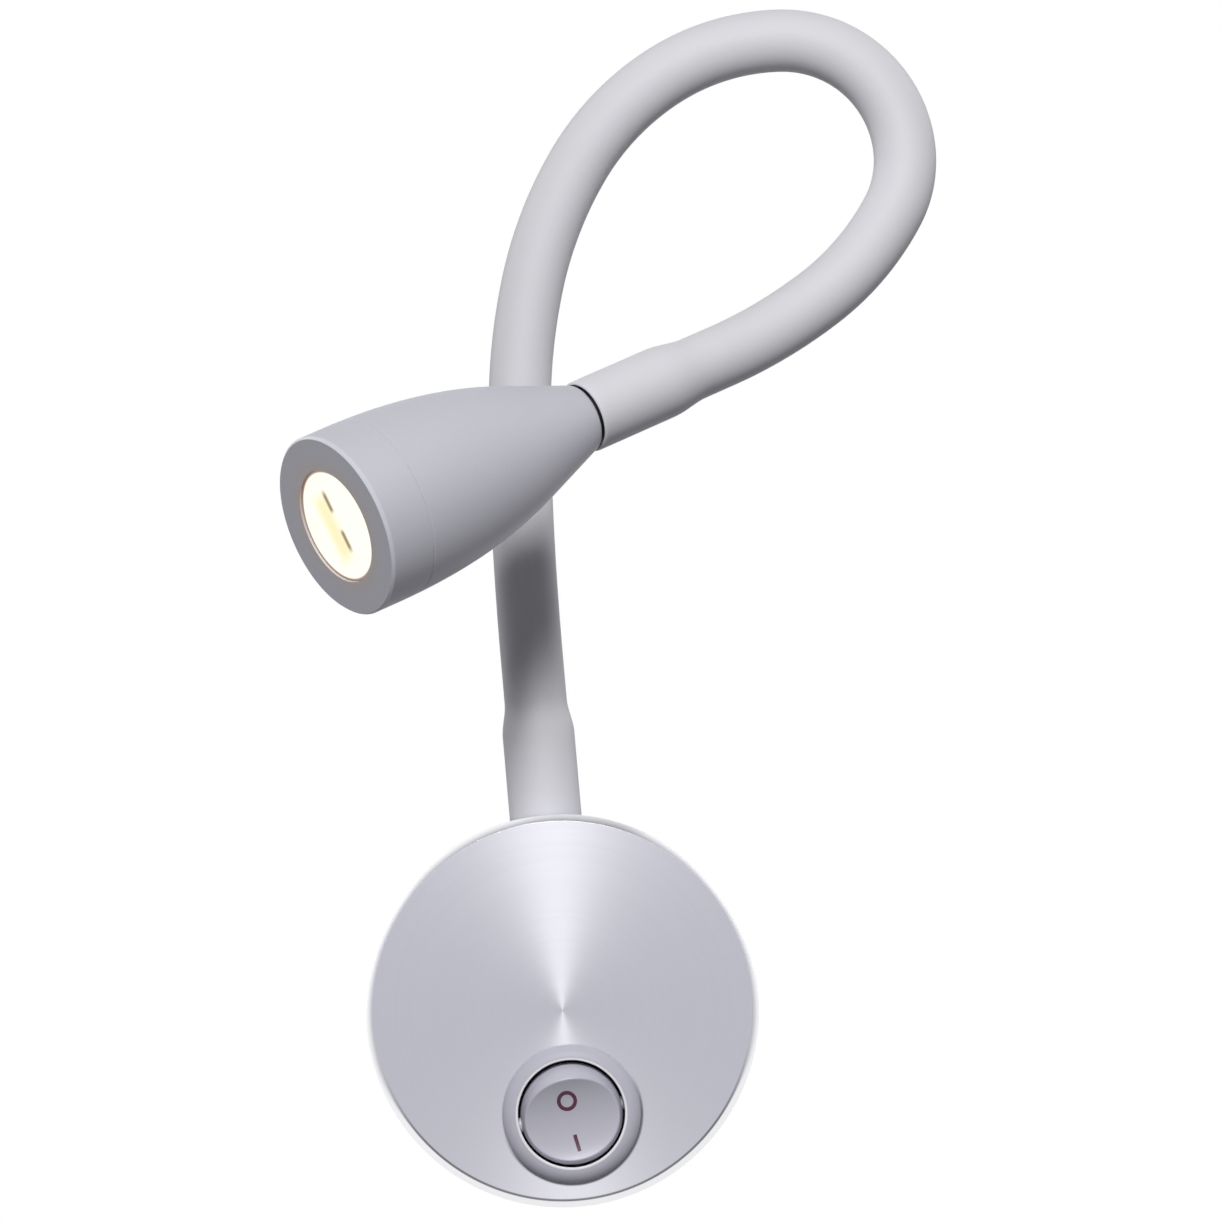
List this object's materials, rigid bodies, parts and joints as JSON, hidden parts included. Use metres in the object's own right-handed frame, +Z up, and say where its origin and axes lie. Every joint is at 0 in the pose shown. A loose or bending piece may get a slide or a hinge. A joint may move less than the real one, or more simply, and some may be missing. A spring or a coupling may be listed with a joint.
{
  "type": "gooseneck reading lamp",
  "caption": "Wall-mounted reading lamp: round brushed canopy with a rocker switch, a sleeved gooseneck arm that stays where it is bent, and a bullet-shaped metal head with a lit lens.",
  "frame": {"origin": "centre of the canopy's back face, on the wall", "axes": "+Z up the wall, +X to the right for someone facing the wall, +Y into the wall"},
  "size_m": [0.1134, 0.0892, 0.1976],
  "materials": {
    "spun_aluminium": "spun and brushed, bare",
    "satin_aluminium": "bead-blasted and anodised, satin grey",
    "silicone": "matt light grey silicone",
    "wound_steel": "wound wire",
    "lead_sheath": "white sheath",
    "zinc_steel": "zinc plated sheet and screws",
    "nickel_brass": "nickel plated",
    "switch_grey": "grey moulded nylon",
    "rocker_grey": "grey moulded nylon, polished face",
    "contact_brass": "bare strip",
    "white_moulding": "moulded",
    "board_green": "solder resist",
    "transformer_yellow": "taped winding and core",
    "capacitor_black": "shrink sleeve",
    "black_rubber": "moulded",
    "clear_lens": "clear moulded optic, lit",
    "led_lit": "phosphor, lit",
    "board_white": "white solder resist on aluminium",
    "pad_grey": "thermal pad"
  },
  "bodies": {
    "base": {"canopy_shell": "spun_aluminium", "wall_plate": "zinc_steel", "set_screws": "zinc_steel", "cable_grommet": "black_rubber", "earth_screw": "zinc_steel", "terminal_block": "white_moulding", "terminal_screws": "zinc_steel", "driver_tray": "white_moulding", "driver_board": "board_green", "driver_transformer": "transformer_yellow", "driver_capacitor": "capacitor_black", "switch_housing": "switch_grey", "switch_terminals": "contact_brass", "lower_ferrule": "nickel_brass", "lower_washer": "nickel_brass", "lower_nut": "nickel_brass", "sleeve_foot": "silicone", "gooseneck_foot": "wound_steel", "lead_foot": "lead_sheath"},
    "rocker": {"switch_rocker": "rocker_grey", "switch_plunger": "white_moulding"},
    "lever": {"contact_lever": "contact_brass"},
    "arm_1": {"sleeve_1": "silicone", "gooseneck_1": "wound_steel", "lead_1": "lead_sheath"},
    "arm_2": {"sleeve_2": "silicone", "gooseneck_2": "wound_steel", "lead_2": "lead_sheath"},
    "arm_3": {"sleeve_3": "silicone", "gooseneck_3": "wound_steel", "lead_3": "lead_sheath"},
    "arm_4": {"sleeve_4": "silicone", "gooseneck_4": "wound_steel", "lead_4": "lead_sheath"},
    "arm_5": {"sleeve_5": "silicone", "gooseneck_5": "wound_steel", "lead_5": "lead_sheath"},
    "head": {"sleeve_neck": "silicone", "gooseneck_neck": "wound_steel", "lead_neck": "lead_sheath", "upper_ferrule": "nickel_brass", "upper_washer": "nickel_brass", "upper_nut": "nickel_brass", "head_shell": "satin_aluminium", "head_bezel": "satin_aluminium", "heat_slug": "satin_aluminium", "thermal_pad": "pad_grey", "led_board": "board_white", "board_screws": "zinc_steel", "led_emitter": "led_lit", "led_lens": "clear_lens", "lens_gasket": "black_rubber", "lens_holder": "white_moulding"}
  },
  "joints": [
    {"name": "arm_sway_1", "type": "hinge", "parent": "base", "child": "arm_1", "pos_m": [0, -0.014, 0.0596], "axis": [0, 1, 0], "range_deg": [-35, 35]},
    {"name": "arm_lean_2", "type": "hinge", "parent": "arm_1", "child": "arm_2", "pos_m": [0.00162, -0.01433, 0.10175], "axis": [0.9963, 0.0008, -0.0856], "range_deg": [-6, 34]},
    {"name": "arm_sway_3", "type": "hinge", "parent": "arm_2", "child": "arm_3", "pos_m": [0.01478, -0.01537, 0.14133], "axis": [0.0051, 0.9995, 0.0317], "range_deg": [-34, 34]},
    {"name": "arm_lean_4", "type": "hinge", "parent": "arm_3", "child": "arm_4", "pos_m": [0.05077, -0.01647, 0.15955], "axis": [0.0676, -0.0404, 0.9969], "range_deg": [-18, 30]},
    {"name": "arm_sway_5", "type": "hinge", "parent": "arm_4", "child": "arm_5", "pos_m": [0.06686, -0.02148, 0.12874], "axis": [0.0927, 0.9186, -0.3841], "range_deg": [-34, 30]},
    {"name": "head_lean_6", "type": "hinge", "parent": "arm_5", "child": "head", "pos_m": [0.03587, -0.03675, 0.10576], "axis": [-0.5346, 0.4255, 0.7301], "range_deg": [-20, 34]},
    {"name": "rocker_tip", "type": "hinge", "parent": "base", "child": "rocker", "pos_m": [0, -0.0264, -0.0172], "axis": [-0.9914, 0, -0.1305], "range_deg": [0, 24]},
    {"name": "lever_tip", "type": "hinge", "parent": "base", "child": "lever", "pos_m": [0, -0.01805, -0.0172], "axis": [-0.9914, 0, -0.1305], "range_deg": [-12, 0]}
  ],
  "couplings": [
    {"joint": "lever_tip", "follows": "rocker_tip", "ratio": -0.5}
  ]
}
